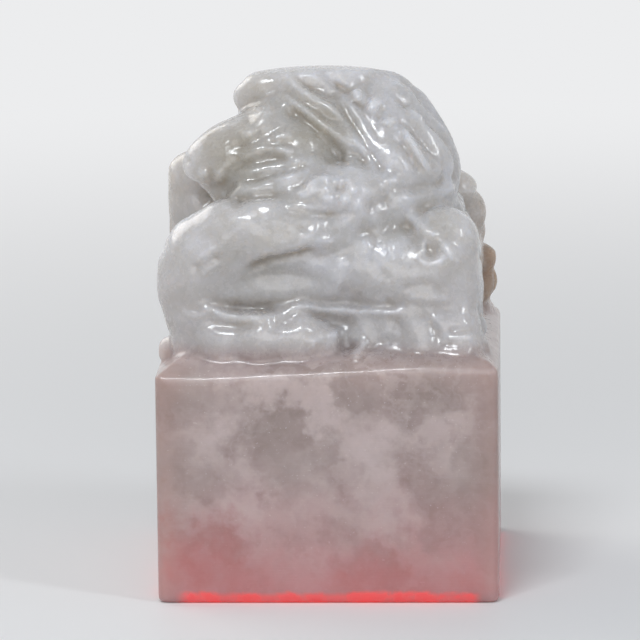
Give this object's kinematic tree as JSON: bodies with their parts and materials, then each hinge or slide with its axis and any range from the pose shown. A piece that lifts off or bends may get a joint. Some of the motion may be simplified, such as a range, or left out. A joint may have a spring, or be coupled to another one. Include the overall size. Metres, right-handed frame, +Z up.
{
  "type": "seal stamp",
  "caption": "Square hand seal of carved stone: an engraved sealing face under a block, and a resting beast carved on top as the grip.",
  "frame": {"origin": "middle of the square sealing face, which is the underside", "axes": "+Z up from the sealing face to the beast's head, +X towards the beast's chest, -Y towards the flank that the picture shows"},
  "size_m": [0.03, 0.03, 0.0454],
  "materials": {
    "stone": "polished translucent soapstone, milky white in the carving and pinkish grey in the block",
    "seal_paste": "dried oily vermilion paste, matt with a slight sheen"
  },
  "bodies": {
    "root": {"seal_block": "stone", "seal_paste": "seal_paste", "torso": "stone", "chest": "stone", "mane": "stone", "right_haunch": "stone", "left_haunch": "stone", "right_shoulder": "stone", "left_shoulder": "stone", "skull": "stone", "muzzle": "stone", "jaw": "stone", "brow": "stone", "tail": "stone", "right_hip_fold": "stone", "left_hip_fold": "stone", "right_hind_foot": "stone", "left_hind_foot": "stone", "right_fore_foot": "stone", "left_fore_foot": "stone", "right_ear": "stone", "left_ear": "stone", "neck_curls": "stone", "neck_knobs": "stone"}
  },
  "joints": []
}
